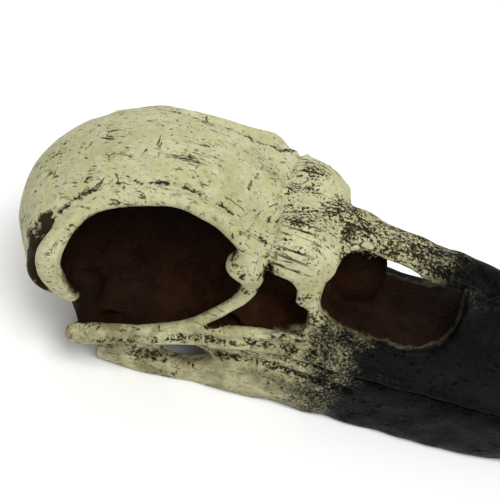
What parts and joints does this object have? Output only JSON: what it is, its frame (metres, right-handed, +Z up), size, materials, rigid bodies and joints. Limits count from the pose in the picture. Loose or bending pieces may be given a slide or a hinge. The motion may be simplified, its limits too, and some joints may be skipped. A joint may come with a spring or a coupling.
{
  "type": "raven skull replica",
  "caption": "Life-size cast of a raven's skull with its lower jaw: domed braincase, large orbits, open nostrils and a deep black beak, lying on its jaw.",
  "frame": {"origin": "middle of the bounding box in X and Y, on the floor that the lower jaw rests on", "axes": "+X towards the beak's tip, +Y to the skull's left, +Z up"},
  "size_m": [0.1155, 0.0402, 0.0348],
  "materials": {
    "cranium": "cast resin painted cream bone, with a dark brown wash in the pits and inside the orbits",
    "upper_bill": "cast resin, cream at the forehead end and speckled over to satin black along the bill",
    "mandible": "cast resin, cream with dark pits behind, satin black in front",
    "jugal_bar": "cast resin painted cream bone with dark pits",
    "quadrate": "cast resin painted cream bone with a brown wash"
  },
  "bodies": {
    "root": {"cranium": "cranium", "upper_bill": "upper_bill", "mandible": "mandible", "jugal_bar_left": "jugal_bar", "jugal_bar_right": "jugal_bar", "quadrate_left": "quadrate", "quadrate_right": "quadrate"}
  },
  "joints": []
}
